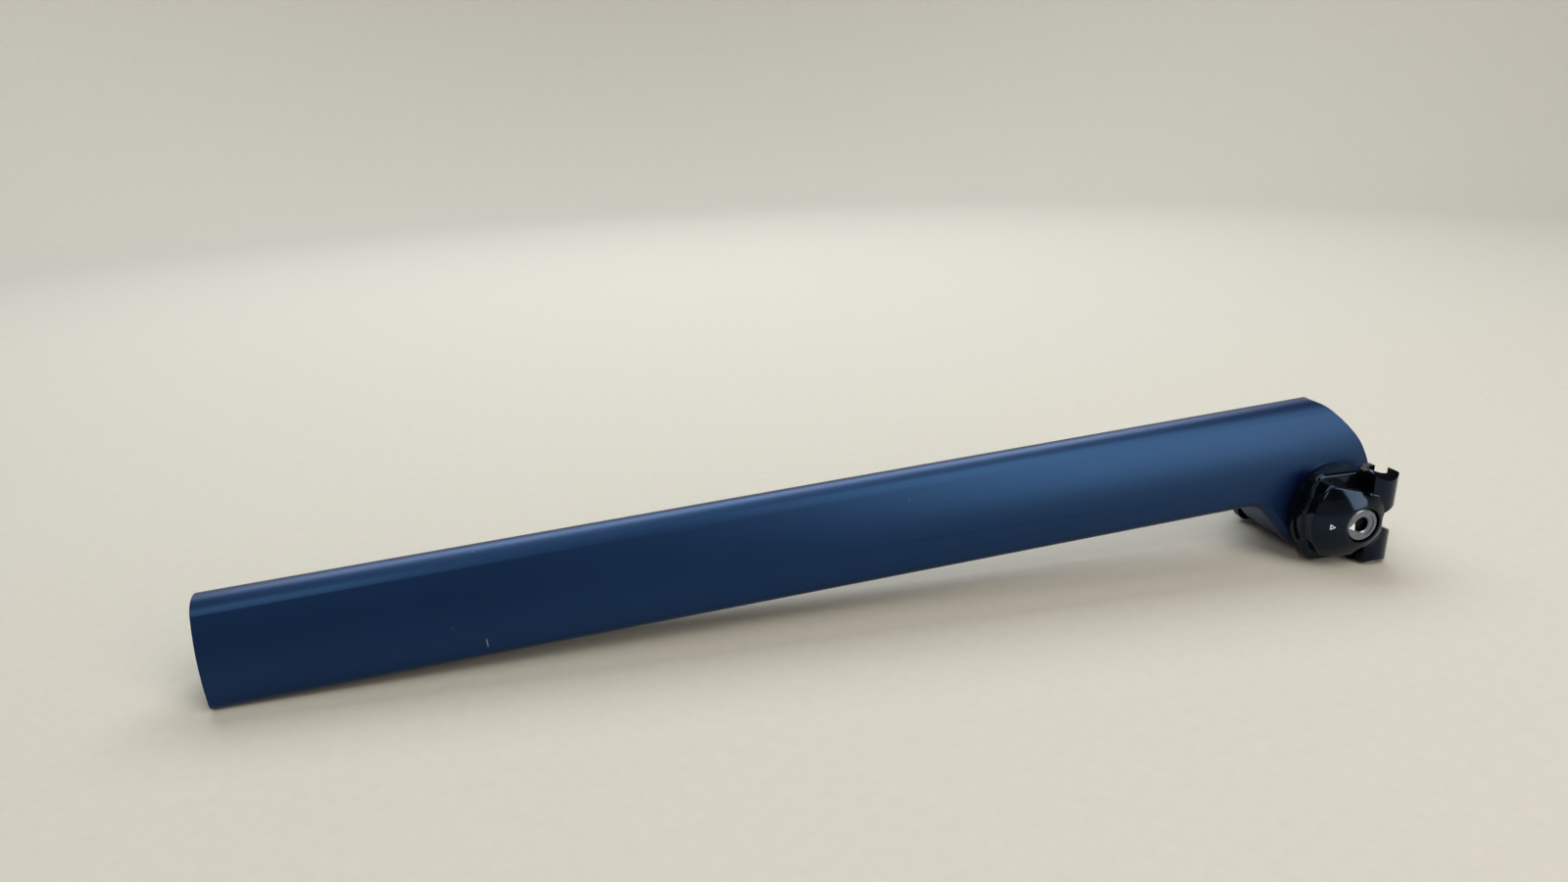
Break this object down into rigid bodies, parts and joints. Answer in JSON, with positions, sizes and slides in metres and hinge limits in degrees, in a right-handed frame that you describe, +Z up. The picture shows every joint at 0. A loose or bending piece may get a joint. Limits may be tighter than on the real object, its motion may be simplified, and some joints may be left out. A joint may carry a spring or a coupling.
{
  "type": "bicycle seatpost",
  "caption": "Hollow D-section bicycle seatpost with a set-back head and a side-bolted clamp that grips round saddle rails and turns on its bolt to set the saddle's tilt.",
  "frame": {"origin": "on the surface the post lies on, below the middle of its bounding box", "axes": "+X from the tube's open lower end to the saddle clamp, +Y along the clamp bolt towards its head, +Z up as the post lies, which is forward on the bicycle"},
  "size_m": [0.3882, 0.0592, 0.0538],
  "materials": {
    "post_paint": "satin dark navy paint on moulded carbon",
    "clamp_black": "polished black anodised",
    "nut_grey": "turned, grey anodised",
    "bolt_steel": "black oxide",
    "mark_white": "thin white print"
  },
  "bodies": {
    "post": {"post": "post_paint"},
    "clamp": {"inner_cradle_left": "clamp_black", "inner_cradle_right": "clamp_black", "outer_jaw_left": "clamp_black", "outer_jaw_right": "clamp_black", "index_nut": "nut_grey", "index_washer": "nut_grey", "clamp_bolt": "bolt_steel"}
  },
  "joints": [
    {"name": "saddle_tilt", "type": "hinge", "parent": "post", "child": "clamp", "pos_m": [0.17586, 0, 0.017], "axis": [0, 1, 0], "range_deg": [-30, 30]}
  ]
}
